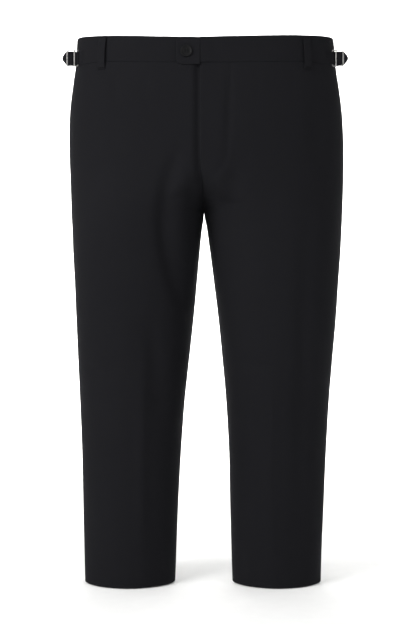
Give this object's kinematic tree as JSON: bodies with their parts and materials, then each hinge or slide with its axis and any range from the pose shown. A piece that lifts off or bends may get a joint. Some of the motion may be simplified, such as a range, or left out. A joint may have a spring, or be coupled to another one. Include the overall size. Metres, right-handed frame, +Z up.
{
  "type": "dress trousers",
  "caption": "Black wool dress trousers filled out as if worn, with waistband, waist tab and button, belt loops and buckled side adjusters.",
  "frame": {"origin": "middle of the waist opening, level with the waistband's top edge at the side seams", "axes": "+Z up along the body, -Y to the front, +X to the wearer's left"},
  "size_m": [0.505, 0.2553, 0.986],
  "materials": {
    "black_wool_cloth": "matte black worsted wool with a fine twill weave",
    "polished_nickel": "polished nickel plate on stamped metal",
    "dark_button": "dark polyester button with a soft gloss"
  },
  "bodies": {
    "root": {"front_right": "black_wool_cloth", "front_left": "black_wool_cloth", "back_right": "black_wool_cloth", "back_left": "black_wool_cloth", "waistband_right": "black_wool_cloth", "waistband_left": "black_wool_cloth", "waistband_tab": "black_wool_cloth", "belt_loop_front_right": "black_wool_cloth", "belt_loop_front_left": "black_wool_cloth", "belt_loop_back_right": "black_wool_cloth", "belt_loop_back_middle": "black_wool_cloth", "belt_loop_back_left": "black_wool_cloth", "adjuster_strap_right": "black_wool_cloth", "adjuster_strap_left": "black_wool_cloth", "adjuster_anchor_right": "black_wool_cloth", "adjuster_anchor_left": "black_wool_cloth", "adjuster_buckle_right": "polished_nickel", "adjuster_buckle_left": "polished_nickel", "waist_button": "dark_button"}
  },
  "joints": []
}
